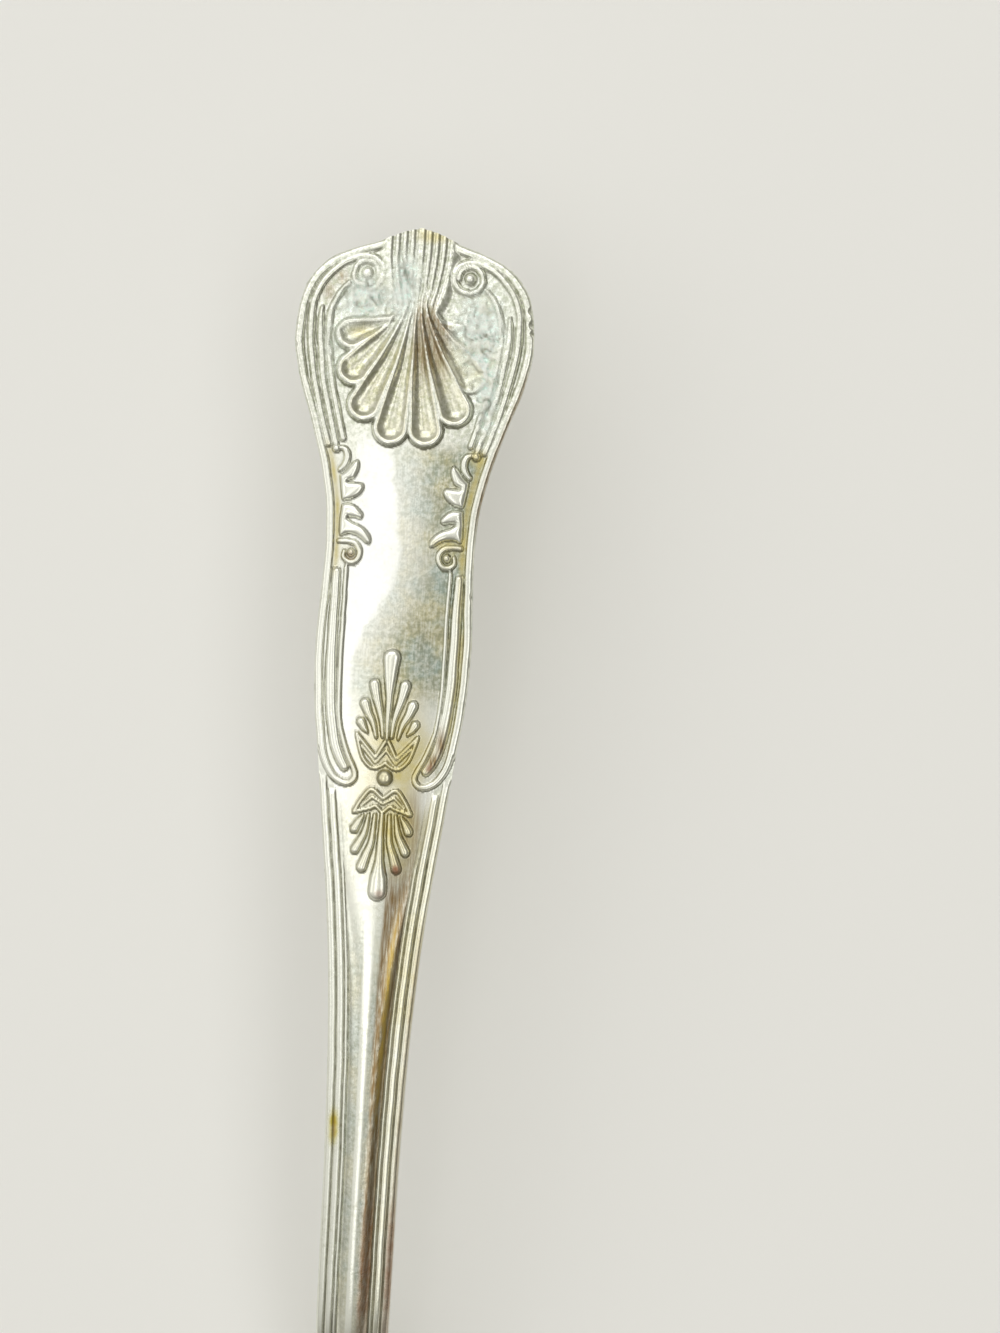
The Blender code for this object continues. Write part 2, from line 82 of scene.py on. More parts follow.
def smooth_through(knots, x):
    """A smooth curve through a few (x, y) knots, flat where they turn, so it never swings past them."""
    kx, ky = np.array(knots, float).T
    rise = np.diff(ky) / np.diff(kx)
    product = np.clip(rise[:-1] * rise[1:], 0, None)
    mean = 2 * product / np.maximum(np.abs(rise[:-1] + rise[1:]), 1e-9) * np.sign(rise[1:])
    slope = np.r_[rise[0], mean, rise[-1]]
    x = np.clip(x, kx[0], kx[-1])
    i = np.clip(np.searchsorted(kx, x) - 1, 0, len(kx) - 2)
    step = kx[i + 1] - kx[i]
    t = (x - kx[i]) / step
    bend = step * (t * (1 - t) ** 2 * slope[i] - t * t * (1 - t) * slope[i + 1])
    return ky[i] + (ky[i + 1] - ky[i]) * t * t * (3 - 2 * t) + bend


def ease(x, start, end):
    """0 before start, 1 after end, smooth between."""
    t = np.clip((x - start) / (end - start), 0, 1)
    return t * t * (3 - 2 * t)


def half_width(s):
    """Half the handle's width at a place along it."""
    return smooth_through(HALF_WIDTH, s)


def sheet_places(rows, columns):
    """The flat (u, s) places of a sheet's points, whose ends follow the head's top and the palm's tip."""
    head_lift = SHOULDER_S - smooth_through(HEAD_TOP, np.abs(columns) * SHOULDER_U)
    corner = PALM_TIP_RADIUS * math.sqrt(0.5)
    palm_lift = np.sqrt(PALM_TIP_RADIUS**2 - (columns * corner) ** 2) - corner
    along = rows - head_lift * (1 - ease(rows, SHOULDER_S, SHOULDER_S + END_BLEND))
    along += palm_lift * ease(rows, PALM_CORNER_S - END_BLEND, PALM_CORNER_S)
    return columns * half_width(rows), along


# The handle's middle line, from the tip of the head down to the palm on the blade.
path_s = np.linspace(0, PALM_CORNER_S + PALM_TIP_RADIUS, PATH_STEPS)
path_slope = np.radians(smooth_through(SLOPE_DEGREES, path_s))
path_y = TOTAL_LENGTH / 2 - np.cumsum(np.cos(path_slope) * np.gradient(path_s))
path_z = np.cumsum(np.sin(path_slope) * np.gradient(path_s))
path_z += BLADE_THICKNESS + JOINT_GAP + smooth_through(THICKNESS, path_s[-1]) / 2 - path_z[-1]


def to_space(u, s, height):
    """Points in metres, from a place on the flat handle and a height off its middle."""
    y, z, lean = (np.interp(s, path_s, line) for line in (path_y, path_z, path_slope))
    return np.column_stack((u, y + height * np.sin(lean), z + height * np.cos(lean))) * MM


# Two flat sheets, the front fine enough for its relief, joined round their rim.
bm = bmesh.new()
row_spans = [np.linspace(start, end, count, endpoint=False) for start, end, count in ROW_SPANS]
row_s = np.concatenate((*row_spans, [PALM_CORNER_S]))
ROWS = len(row_s) - 1
bmesh.ops.create_grid(bm, x_segments=COLUMNS, y_segments=ROWS, size=1)
bmesh.ops.create_grid(
    bm, x_segments=COLUMNS // 3, y_segments=ROWS // 3, size=1, matrix=Matrix.Translation((0, 0, -1))
)
rim = [e for e in bm.edges if e.is_boundary]
for e in rim:
    e.smooth = False
bmesh.ops.bridge_loops(bm, edges=rim)
bmesh.ops.recalc_face_normals(bm, faces=bm.faces[:])
mesh = bpy.data.meshes.new("handle_struck")
bm.to_mesh(mesh)
bm.free()
mesh.shade_smooth()
flat = np.empty(len(mesh.vertices) * 3)
mesh.vertices.foreach_get("co", flat)
flat = flat.reshape(-1, 3)
columns = flat[:, 0]
u, s = sheet_places(row_s[np.rint((flat[:, 1] + 1) / 2 * ROWS).astype(int)], columns)
front = np.flatnonzero(flat[:, 2] > -0.5)
back = np.flatnonzero(flat[:, 2] <= -0.5)
front = front[np.lexsort((flat[front, 0], flat[front, 1]))].reshape(ROWS + 1, COLUMNS + 1)

# The front die. Every motif is drawn once, for both sides, on (across, along) in millimetres, and its
# lines waver a little, as worn ones do.
WAVER_MM = 0.05
WAVER_SIZE_MM = 2.5
u_front = u[front]


def waver(size_mm, seed):
    """Smooth random values over the front, about -1 to 1, that change over a given size."""
    places = zip(u_front.flat, s[front].flat)
    return np.reshape([noise.noise((x / size_mm, y / size_mm, seed)) for x, y in places], front.shape)


across = np.abs(u_front + WAVER_MM * waver(WAVER_SIZE_MM, 1.5))
along = s[front] + WAVER_MM * waver(WAVER_SIZE_MM, 4.5)


def curve_points(points, per_span):
    """Points along a smooth curve through the given (across, along) points."""
    p = np.array(points, float)
    p = np.vstack((2 * p[0] - p[1], p, 2 * p[-1] - p[-2]))
    t = np.linspace(0, 1, per_span, endpoint=False)[:, None]
    spans = [
        b + 0.5 * t * (c - a + t * (2 * a - 5 * b + 4 * c - d + t * (3 * b - a - 3 * c + d)))
        for a, b, c, d in zip(p, p[1:], p[2:], p[3:])
    ]
    return np.vstack((*spans, p[-2]))


def reach(across, along, path, radii):
    """Distance to the foot of a ridge along a path, below 0 inside it, and the ridge's radius there."""
    radii = np.interp(np.linspace(0, 1, len(path)), np.linspace(0, 1, len(radii)), radii)
    gap = np.full(across.shape, 1e9)
    radius = np.ones(across.shape)
    for p, q, a, b in zip(path, path[1:], radii, radii[1:]):
        d = q - p
        t = np.clip(((across - p[0]) * d[0] + (along - p[1]) * d[1]) / (d @ d), 0, 1)
        local = a + (b - a) * t
        off = np.hypot(across - p[0] - t * d[0], along - p[1] - t * d[1]) - local
        nearer = off < gap
        gap = np.where(nearer, off, gap)
        radius = np.where(nearer, local, radius)
    return gap, radius


def rounded(share, fullness=2.3):
    """The full top of a worn ridge: 1 on its crest, 0 at its foot."""
    return np.sqrt(np.clip(1 - np.abs(share) ** fullness, 0, None))


def strike(path, radii, height, per_span=6):
    """Raises a ridge along a curve."""
    gap, radius = reach(across, along, curve_points(path, per_span), radii)
    np.maximum(relief, height * rounded(np.clip(1 + gap / radius, 0, 1)), out=relief)


def strike_bead(centre, radius, height):
    """Raises a round bead."""
    gap = np.hypot(across - centre[0], along - centre[1]) / radius
    np.maximum(relief, height * np.sqrt(np.clip(1 - gap**2, 0, None)), out=relief)


def edge_threads(across, along):
    """The thread round the whole edge, and the two more and round middle that the stem adds."""
    top_u = np.linspace(0, SHOULDER_U, 30)
    side_s = np.linspace(SHOULDER_S, 130, 160)[1:]
    outline = np.vstack((
        np.column_stack((top_u, smooth_through(HEAD_TOP, top_u))),
        np.column_stack((half_width(side_s), side_s)),
    ))
    inset = reach(across, along, outline, [0])[0]
    wide = 0.42 - 0.03 * ease(along, 53, 58)
    gap_at_hairpin = ease(along, 52.2, 53.2) * (1 - ease(along, 54.6, 56.2))
    first = REED * rounded((inset - wide) / wide, 3.5) * (1 - gap_at_hairpin)
    first *= ease(across + 4 * (along > 3), 2.9, 3.6)
    second = REED * rounded((inset - 1.24) / 0.38, 3.5) * ease(along, 56.2, 57.4)
    third = 0.6 * REED * rounded((inset - 1.86) / 0.17) * ease(along, 62, 66)
    room = np.maximum(half_width(along) - ROUND_INSET, 0.6)
    crown = 0.8 * np.sqrt(np.clip(1 - (across / room) ** 2, 0, None)) * ease(along, 62, 82)
    return np.max((first, second, third, crown), axis=0) * (1 - ease(along, 116, 126)), inset


relief, inset = edge_threads(across, along)

# Head: a thread that winds out of the scroll and down the side, two more inside it, and a hollow husk.
SCROLL_CENTRE = (5.16, 4.79)
SCROLL_RADIUS = 1.7
SCROLL_SHRINK = 0.6
SCROLL_DEGREES = 450
HUSK_DEPTH = 0.25
spiral = []
for t in np.linspace(0, 1, 14):
    angle = math.radians(270 - SCROLL_DEGREES * t)
    radius = SCROLL_RADIUS - SCROLL_SHRINK * t
    spiral.append((SCROLL_CENTRE[0] + radius * math.cos(angle), SCROLL_CENTRE[1] + radius * math.sin(angle)))
strike([
    (7.85, 22.2), (8.85, 19), (9.75, 15.5), (10.38, 12), (10.45, 9.5), (10.3, 7.8), (9.6, 6.0), (8.6, 4.72),
    (7.5, 3.8), (6.3, 3.3), *spiral,
], [0.38, 0.38, 0.36, 0.34, 0.32, 0.24], 1.1 * REED)
strike_bead(SCROLL_CENTRE, 0.6, 1.1 * PETAL)
strike([
    (9.4, 8.3), (9.5, 9.6), (9.4, 11.5), (8.75, 16), (7.95, 19), (7.15, 22),
], [0.15, 0.38, 0.38, 0.36], REED)
strike([
    (6.9, 5.9), (7.65, 6.8), (8.5, 8.7), (8.62, 10.8), (8.45, 13), (7.92, 16), (7.13, 19), (6.4, 21.6),
], [0.25, 0.34, 0.34, 0.34], REED)
husk = curve_points([(6.8, 4.5), (8.0, 5.9), (9.3, 8.3)], 6)
husk_gap, husk_radius = reach(across, along, husk, [0.25, 0.6, 0.2])
relief -= HUSK_DEPTH * rounded(np.clip(1 + husk_gap / husk_radius, 0, 1))

# Shell: eight scooped flutes that run down from the top edge through a waist and fan out into lobes.
flute_gap = np.full(across.shape, 1e9)
flute_radius = np.ones(across.shape)
for path, radii in (
    ([(0.5, -0.6), (0.48, 3), (0.38, 6), (0.24, 8.4), (0.8, 14), (1.72, 20.3)],
     [0.27, 0.27, 0.26, 0.22, 0.75, 1.45]),
    ([(1.26, -0.6), (1.22, 3), (1.0, 6), (0.74, 8.3), (2.2, 12.9), (4.5, 18.1)],
     [0.27, 0.27, 0.26, 0.22, 0.75, 1.42]),
    ([(2.02, -0.6), (1.96, 3), (1.62, 6), (1.26, 8.1), (3.15, 11.3), (5.8, 14.6)],
     [0.27, 0.27, 0.26, 0.22, 0.75, 1.4]),
    ([(2.78, -0.6), (2.7, 3), (2.25, 6), (1.78, 7.9), (1.7, 8.9)], [0.27, 0.27, 0.26, 0.2, 0.1]),
    ([(2.4, 9.5), (4.2, 10.35), (6.25, 11.1)], [0.12, 0.75, 1.32]),
):
    off, local = reach(across, along, curve_points(path, 8), radii)
    flute_radius = np.where(off < flute_gap, local, flute_radius)
    flute_gap = np.minimum(flute_gap, off)
low = ease(along, 6, 12)
rim_height = SHELL_RIM * (0.62 + 0.38 * low)
outside = np.clip(flute_gap, 0, None)
lobe_rim = rounded(outside / (0.32 + 0.12 * low))
column_side = 1 - ease(outside, 0, 1.3)
column = 1 - ease(along, 7.5, 10)
shell_rim = rim_height * (lobe_rim + column * (column_side - lobe_rim))
bowl = np.clip((-flute_gap / flute_radius - 0.06) / 0.94, 0, 1)
scoop = SHELL_SCOOP * np.minimum(flute_radius / 0.8, 1) * (1 - (1 - bowl) ** 2)
relief = np.where(flute_gap < 0, rim_height - scoop, np.maximum(relief, shell_rim))

# Leaf at the waist: a bead, a curled lobe, two clumps of pointed lobes, and a small scroll.
LEAF_SHOULDER = 0.8


def strike_lobes(outline, height):
    """Raises a shape with broad round shoulders inside a closed smooth outline."""
    outline = curve_points(outline, 5)
    outline = np.vstack((outline, outline[0]))
    odd = np.zeros(across.shape, bool)
    for (u0, s0), (u1, s1) in zip(outline, outline[1:]):
        if s0 != s1:
            crosses = (s0 > along) != (s1 > along)
            odd ^= crosses & (across < u0 + (u1 - u0) * (along - s0) / (s1 - s0))
    depth = np.where(odd, reach(across, along, outline, [0])[0], 0)
    np.maximum(relief, height * rounded(1 - np.clip(depth / LEAF_SHOULDER, 0, 1)), out=relief)


strike_bead((7.03, 22.65), 0.46, PETAL)
strike([
    (6.5, 22.55), (6.05, 22.8), (5.85, 23.5), (6.05, 24.25), (6.5, 24.8),
], [0.24, 0.34, 0.38, 0.34, 0.24], 0.8 * PETAL)
strike_lobes([
    (6.5, 25.3), (5.95, 24.85), (5.45, 24.2), (5.05, 23.8), (4.72, 23.72), (4.52, 24.25), (4.68, 24.95),
    (5.0, 25.55), (5.62, 25.9), (4.92, 25.92), (4.25, 25.95), (3.9, 26.35), (4.2, 27.0), (4.9, 27.55),
    (5.6, 27.78), (6.12, 27.72), (6.35, 26.5),
], 0.95 * PETAL)
strike_lobes([
    (6.1, 28.15), (5.4, 28.05), (4.75, 28.2), (4.2, 28.65), (3.85, 29.15), (4.05, 29.55), (4.65, 29.5),
    (5.35, 29.42), (4.95, 29.82), (4.05, 30.2), (3.35, 30.75), (2.92, 31.4), (2.98, 31.97), (3.45, 31.9),
    (4.0, 31.47), (4.65, 31.15), (5.4, 31.12), (6.1, 31.3), (6.2, 29.7),
], 0.95 * PETAL)
strike([
    (6.1, 31.85), (5.3, 31.8), (4.45, 32.0), (3.95, 32.8), (4.25, 33.65), (4.95, 33.85), (5.55, 33.4),
    (5.5, 32.8),
], [0.26, 0.3, 0.3, 0.26, 0.2], REED)
strike_bead((4.8, 32.9), 0.42, PETAL)

# Panel hem: the edge thread turns in under a broad round tongue and runs up again inside it.
strike([
    (6.15, 34.9), (6.1, 44), (5.88, 48), (5.3, 51.6), (4.62, 53.4), (4.1, 54.25),
], [0.46, 0.58, 0.58, 0.56, 0.48], 1.25 * REED)
strike([
    (5.2, 34.4), (5.17, 40), (5.15, 46), (4.9, 49.6), (4.45, 51.4), (3.8, 53.1), (3.3, 54.1), (2.98, 54.95),
    (3.24, 55.6), (3.9, 55.88), (4.75, 55.6), (5.4, 55), (5.95, 54.1), (6.4, 52.8), (6.72, 51),
], [0.22, 0.24, 0.3, 0.38, 0.4], REED)

# Palmettes up the panel and down the stem, each rising from a zigzag band, with a bead between.
for petal, radii in (
    ([(0, 51.2), (0, 49.2), (0, 47), (0, 45), (0, 43.15)], [0.22, 0.33, 0.42, 0.7, 0.9]),
    ([(0.45, 51), (0.64, 49.35), (1.22, 47.3), (1.55, 45.85)], [0.2, 0.3, 0.46, 0.58]),
    ([(1.1, 51.1), (1.49, 49.7), (2.02, 48.74), (2.4, 47.75)], [0.18, 0.32, 0.42, 0.55]),
    ([(1.99, 50.7), (2.4, 50.2), (2.72, 49.66)], [0.12, 0.35, 0.48]),
    ([(0, 58.8), (0, 61), (0, 63.5), (0, 65.3), (0, 66.5)], [0.25, 0.33, 0.5, 0.92, 1.02]),
    ([(0.72, 58.9), (0.9, 61.5), (1.35, 63), (1.74, 64.2)], [0.2, 0.34, 0.46, 0.56]),
    ([(1.36, 58.9), (1.66, 60.6), (2.1, 61.6), (2.52, 62.45)], [0.18, 0.34, 0.42, 0.5]),
    ([(1.91, 59.0), (2.3, 59.6), (2.73, 60.4)], [0.14, 0.36, 0.48]),
):
    strike(petal, radii, PETAL * (0.7 + 0.4 * radii[-1]))
strike([(0, 51.2), (1.05, 53.15), (3.05, 50.9)], [0.22], REED, 1)
strike([(0, 53.6), (0.55, 54.0), (1.2, 54.2), (1.9, 53.75), (2.45, 52.9), (3.05, 51)], [0.2], REED)
strike([(0, 52.35), (1.02, 53.7), (2.45, 52.1)], [0.15], 0.7 * REED, 1)
strike([(0, 57.2), (1.2, 56.35), (2.1, 57.3), (2.85, 58.65)], [0.22], REED)
strike([(0, 57.75), (1.1, 57.1), (2.15, 58.1)], [0.14], 0.7 * REED, 1)
strike([(0, 58.6), (0.7, 58.0), (1.3, 58.25), (2.8, 58.7)], [0.2], REED)
strike_bead((0, 55.1), 0.82, 1.1 * PETAL)

# Wear: the right of the shell is corroded, the left scroll and the flutes beside it less so, the head is
# finely pitted, and the edges are nicked.
NICK_DEPTH = 0.3
PITTING = 0.016


def patch(u0, s0, across_mm, along_mm):
    """1 at the middle of an oval patch, fading out past its edge."""
    return np.exp(-(((u_front - u0) / across_mm) ** 2 + ((along - s0) / along_mm) ** 2) ** 1.5)


def patches(*spots):
    """The sum of oval patches, each given as its strength, place and half sizes."""
    return sum(strength * patch(*spot) for strength, *spot in spots)


def between(start, full, fading, end):
    """1 along a stretch of the handle, rising from its start and fading to its end."""
    return ease(along, start, full) * (1 - ease(along, fading, end))


def line_at(values, middle, half):
    """1 where the values cross the middle of a narrow line, fading past its half width."""
    return np.exp(-(((values - middle) / half) ** 2))


on_head = 1 - ease(along, 18, 25)
corroded = np.clip(patches(
    (1, 6.6, 10.6, 2.5, 4.6), (0.9, 7.7, 17, 1.1, 4), (1, -5.2, 7.6, 2.4, 2.0), (0.95, -1.3, 6.0, 1.5, 3.4),
    (0.4, -8, 12, 1.0, 4), (0.3, -5.2, 5.0, 1.9, 1.8),
), 0, 1)
relief *= 1 - np.clip(patches(
    (0.85, 6.5, 11.2, 2.3, 3.6), (0.7, 6.3, 14.8, 1.6, 2.0), (0.8, 3.6, 9.0, 1.1, 1.0),
    (0.4, -5.1, 5.3, 2.1, 2.2), (0.35, -0.9, 6, 1.5, 3),
), 0, 0.9)
cracks = line_at(waver(1.15, 12.5), 0, 0.1) * (0.2 + 0.8 * ease(waver(1.4, 18.5), -0.2, 0.2))
crust = 0.18 * waver(1.1, 11.5) + 0.26 * waver(0.6, 15.5) + 0.12 * waver(0.4, 13.5) - 0.22 * cracks
relief += corroded * crust + PITTING * on_head * waver(0.36, 14.5)
relief -= NICK_DEPTH * patches(
    (1, 11.55, 7.6, 0.3, 0.3), (1, 11.75, 9.0, 0.35, 0.35), (1, 11.8, 9.9, 0.22, 0.22),
    (1, -11.9, 12.5, 0.2, 0.2), (1, 7.6, 36.6, 0.2, 0.2),
)


def mean_around(values, reach_points):
    """Each point's mean over the square of points within a few rows and columns."""
    padded = np.pad(values, reach_points, mode="edge")
    size = 2 * reach_points + 1
    rows, columns = values.shape
    shifted = (padded[i : i + rows, j : j + columns] for i in range(size) for j in range(size))
    return sum(shifted) / size**2


field = 1 - ease(relief, 0.04, 0.14)
slope_u = np.gradient(relief, axis=1) / np.gradient(u_front, axis=1)
slope_s = np.gradient(relief, axis=0) / np.gradient(s[front], axis=0)
slope = np.hypot(slope_u, slope_s)
steep = ease(slope, 0.7, 2.2)
lower_side = -(0.8 * slope_u + 0.6 * slope_s) / np.maximum(slope, 0.05)
# Dark where the surface sits below its neighbours, for tarnish in the recesses, and painted shade on every
# steep wall.
hollow = np.clip(np.maximum((mean_around(relief, 1) - relief) / 0.06, 0.5 * steep), 0, 1)
# Painted shade: more on sides facing right and down the handle, as if lit from the upper left, and little
# where corroded.
hollow *= (0.7 + 0.3 * lower_side) * (1 - 0.95 * corroded)
crest = np.clip((relief - mean_around(relief, 4)) / 0.1, 0, 1) * (1 - steep)

# Where films lie: brown down the right flutes, grey on the left of the stem's round middle and brown on its
# right, which is a painted reflection; a dull right half in the panel's field, partly painted shade; painted
# shade on the petals' lower right flanks; amber in the hollows; salts on the corroded places.
right = ease(u_front, -0.2, 0.2)
flutes = (flute_gap < 0) * between(6.5, 9, 12, 17.5) * ease(u_front, -0.6, 0.4)
flutes *= 1 - ease(across, 2.8, 4.2)
# The line between the field's whiter left and its duller right, set where the highlight on the field ends.
clean_lit_edge = smooth_through(
    ((20, -1.4), (24, -1.1), (30, -0.2), (34, 0.1), (37.5, -1), (40.6, -3), (44, -4), (60, -4)), along)
in_panel = ease(along, 20.5, 23) * (1 - 0.6 * ease(along, 56, 60))
clean_lit_edge += 0.25 * waver(1.4, 21.5) + 0.2 * waver(0.5, 22.5)
past_edge = u_front - clean_lit_edge
# The field's right half dulled by a tarnish film and by painted shade, darker towards the right edge.
dull_and_shaded_half = ease(past_edge, -0.5, 0.4) * in_panel * (0.15 + 0.85 * field)
dull_and_shaded_half *= (0.6 + 0.4 * ease(past_edge, 0, 5)) * (1 - 0.7 * ease(along, 45, 50))
stem = between(66, 76, 106, 120)
stem_far = ease(along, 82, 94)
stem_end = between(95, 104, 106, 120)
round_share = u_front / np.maximum(half_width(along) - ROUND_INSET, 0.6)
on_round = inset > ROUND_INSET
# Film on the stem's round middle, left off a strip left of its crest where the highlight falls, so it paints
# shade on both sides of that highlight.
stem_film_and_shade = stem * (ease(round_share, -0.05, 0.1) + 1 - ease(round_share, -0.45, -0.35)) * on_round
below_bead = between(56, 60, 70, 78) * field * (0.4 + 0.6 * ease(u_front, -1.5, 2.5))
# Painted shade: a grey film on the flanks of the petals that face right and down the handle, standing in for
# their shaded side.
lee_shade = ease(slope * lower_side, 0.15, 0.8) * between(41, 43, 67, 70) * (across < 3.4)
tarnish = np.max((dull_and_shaded_half, 0.6 * stem_film_and_shade, 0.6 * below_bead, 0.6 * lee_shade), axis=0)
bead_foot = line_at(np.hypot(u_front - 0.05, along - 55.15), 0.7, 0.22)
pitted = np.clip(corroded + 0.12 * stem_film_and_shade + 0.1 * on_head + 0.12 * dull_and_shaded_half, 0, 1)
# The grooves between the stem's threads: tarnish, painted darker on the right half as shade.
stem_grooves_and_shade = sum(line_at(inset, middle, 0.11) for middle in (0.82, 1.66, 2.06))
stem_grooves_and_shade *= between(57, 60, 106, 120) * (0.35 + 0.35 * right)
groove = line_at(inset, 1.15, 0.3)
beside_leaf = groove * between(21, 24, 33, 36)
# Dirt in the crust's cracks, and painted shade on its low places.
in_crust = corroded * np.maximum(0.9 * cracks, 0.35 * ease(-crust, 0.08, 0.24))
hollow = np.max((hollow, 0.9 * bead_foot, 0.22 * beside_leaf, in_crust, stem_grooves_and_shade), axis=0)
hollow[:, [0, -1]] = 0
hollow[[0, -1]] = 0
# Whiter plate on the field's left: cleaner plate, and a painted highlight where the lamp's reflection lies.
clean_and_highlit = (1 - tarnish) * field * in_panel * (across < 5.0)
right_reeds = right * (inset < 2.1) * (0.25 * stem + 0.3 * between(55, 60, 75, 85))
amber = np.clip(
    patches(
        (1, 2.4, 52.6, 2.4, 3.2), (0.9, 1.9, 60.5, 1.7, 4.5), (0.6, -5.0, 10.9, 1.5, 0.8),
        (0.5, -1, 56, 3, 9), (0.8, 7.0, 22.8, 0.7, 0.9), (0.7, 4.5, 31.6, 1.5, 0.5),
        (0.6, 4.9, 33.0, 0.9, 0.9), (0.5, -4.9, 33.0, 0.9, 0.9), (0.7, 1.2, 0.7, 2.0, 0.8),
    )
    + beside_leaf + 0.7 * groove * right * between(33, 36, 50, 54) + right_reeds
    + 0.3 * (flute_gap < 0) * ease(along, 10, 13) + 0.45 * field * patch(0.4, 48.6, 2.8, 3.2), 0, 1
)
edge_line = (1 - ease(inset, 0.15, 0.4)) * right * between(12, 16, 27, 32)
# Brown down the right of the stem's round middle: a painted reflection of a brown room.
brown_reflection_side = ease(round_share, 0.16 - 0.02 * stem_far, 0.36 + 0.14 * stem_far) * on_round
# Brown: stains and film on the head and panel, the right flutes and head edge, and the painted reflection
# down the stem's right.
brown_film_and_reflection = np.clip(
    patches(
        (0.6, -8.9, 6.9, 0.6, 1.0), (0.6, -7.7, 5.4, 0.7, 0.8), (1, 5.4, 51.3, 0.45, 1.6),
        (1, 4.75, 53.2, 0.5, 0.9),
    )
    + between(62, 68, 106, 120) * brown_reflection_side * (1 - 0.1 * stem_far) + 0.6 * field * patch(3.0, 60.5, 1.0, 4.5)
    + 0.5 * stem * right * (1 - ease(inset, 0.3, 0.7)) + 0.85 * flutes + 0.8 * edge_line, 0, 1
)
# A gold stripe within that brown band, also a painted reflection.
gold_reflection = stem * (1 - stem_far) * line_at(round_share, 0.72, 0.12)
verdigris = patch(-3.0, 90.9, 0.5, 1.5)
rust_and_reflection = np.clip(
    patches(
        (1, 1.72, 64.3, 0.5, 0.55), (0.8, 4.4, 53.9, 0.35, 0.5), (0.5, 0.25, 66.8, 0.5, 0.5),
        (0.5, -4.9, 33.2, 0.4, 0.4), (0.9, -2.95, 91, 0.2, 0.8),
    )
    # At the stem's end, rust on the right edge, and the brown band carried on over the round middle as a
    # painted reflection.
    + 0.65 * stem_end * right * (1 - ease(inset, 0.4, 1.1))
    + 0.45 * stem_end * ease(round_share, 0.1, 0.5) * on_round, 0, 1
)

# Height off the middle of the metal: half its thickness, domed across, and the relief of either die. Under
# the palm the back comes down to the blade, as in a tight joint.
BACK_RELIEF = 0.7
PALM_DROP = JOINT_GAP - 0.03
relief_all = np.zeros(len(flat))
relief_all[front] = relief
relief_all[back] = BACK_RELIEF * edge_threads(np.abs(u[back]), s[back])[0]
edge = np.where(flat[:, 2] > -0.5, smooth_through(EDGE_SHARE, s), smooth_through(BACK_EDGE_SHARE, s))
dome = edge + (1 - edge) * (1 - columns**2)
height = smooth_through(THICKNESS, s) / 2 * dome + relief_all
drop = PALM_DROP * ease(s, 132, 137)
height[back] = -(height[back] + drop[back])
mesh.vertices.foreach_set("co", to_space(u, s, height).ravel())
marks = {
    "hollow": hollow, "crest": crest, "clean_and_highlit": clean_and_highlit, "pitted": pitted, "corroded": corroded,
    "on_head": on_head, "tarnish": tarnish, "amber": amber, "brown_film_and_reflection": brown_film_and_reflection, "gold_reflection": gold_reflection,
    "verdigris": verdigris, "rust_and_reflection": rust_and_reflection,
}
for name, values in marks.items():
    on_both = np.zeros(len(flat), np.float32)
    on_both[front] = values
    mesh.attributes.new(name, "FLOAT", "POINT").data.foreach_set("value", on_both)
mesh.update()


def linear(hex_colour):
    """A colour written as sRGB hex, as the linear RGBA that shaders take."""
    channels = [int(hex_colour[i : i + 2], 16) / 255 for i in (1, 3, 5)]
    return (*(c / 12.92 if c <= 0.04045 else ((c + 0.055) / 1.055) ** 2.4 for c in channels), 1)


def add(tree, kind, inputs, **settings):
    """Adds a node with its settings, values and links, and gives its first output that is in use."""
    made = tree.nodes.new(kind)
    for key, value in settings.items():
        setattr(made, key, value)
    for key, value in inputs.items():
        if isinstance(value, bpy.types.NodeSocket):
            tree.links.new(value, made.inputs[key])
        else:
            made.inputs[key].default_value = value
    return next(socket for socket in made.outputs if socket.enabled)


def new_material(name):
    """A new material, its node tree and its shader."""
    material = bpy.data.materials.new(name)
    material.use_nodes = True
    return material, material.node_tree, material.node_tree.nodes["Principled BSDF"]


# Silver plate, struck, worn and tarnished: warm white on the crests, mottled grey green where the plate
# has dulled, olive in the grooves, chalky where it is corroded, amber and brown where a film warms it.
# Painted shade darkens steep walls, sides facing right and down and the panel field's right half; a painted
# highlight whitens the field's left; the brown and gold down the stem's right are a painted reflection.
GRAIN_MM = 0.16
SPECKLE_MM = 0.45
BLOTCH_MM = 2.2
CLOUD_MM = 5.0
SCRATCH_MM = (0.09, 5.0)
SCRATCH_DEGREES = 4
STREAK_MM = (0.16, 1.8)

plate, tree, shader = new_material("silver_plate_worn")
place = add(tree, "ShaderNodeTexCoord", {}).node.outputs["Object"]
grain, speckle, blotch, cloud = (
    add(tree, "ShaderNodeTexNoise", {
        "Vector": place, "Scale": 1 / (size * MM), "Detail": detail, "Roughness": 0.62})
    for size, detail in ((GRAIN_MM, 2), (SPECKLE_MM, 5), (BLOTCH_MM, 4), (CLOUD_MM, 4))
)
scratches, streaks = (
    add(tree, "ShaderNodeTexNoise", {
        "Vector": add(tree, "ShaderNodeMapping", {
            "Vector": place, "Rotation": (0, 0, math.radians(SCRATCH_DEGREES)),
            "Scale": (1 / (wide * MM), 1 / (long * MM), 1 / (wide * MM))}),
        "Scale": 1.0, "Detail": 3})
    for wide, long in (SCRATCH_MM, STREAK_MM)
)
mark = {
    name: add(tree, "ShaderNodeAttribute", {}, attribute_name=name).node.outputs["Fac"] for name in marks
}


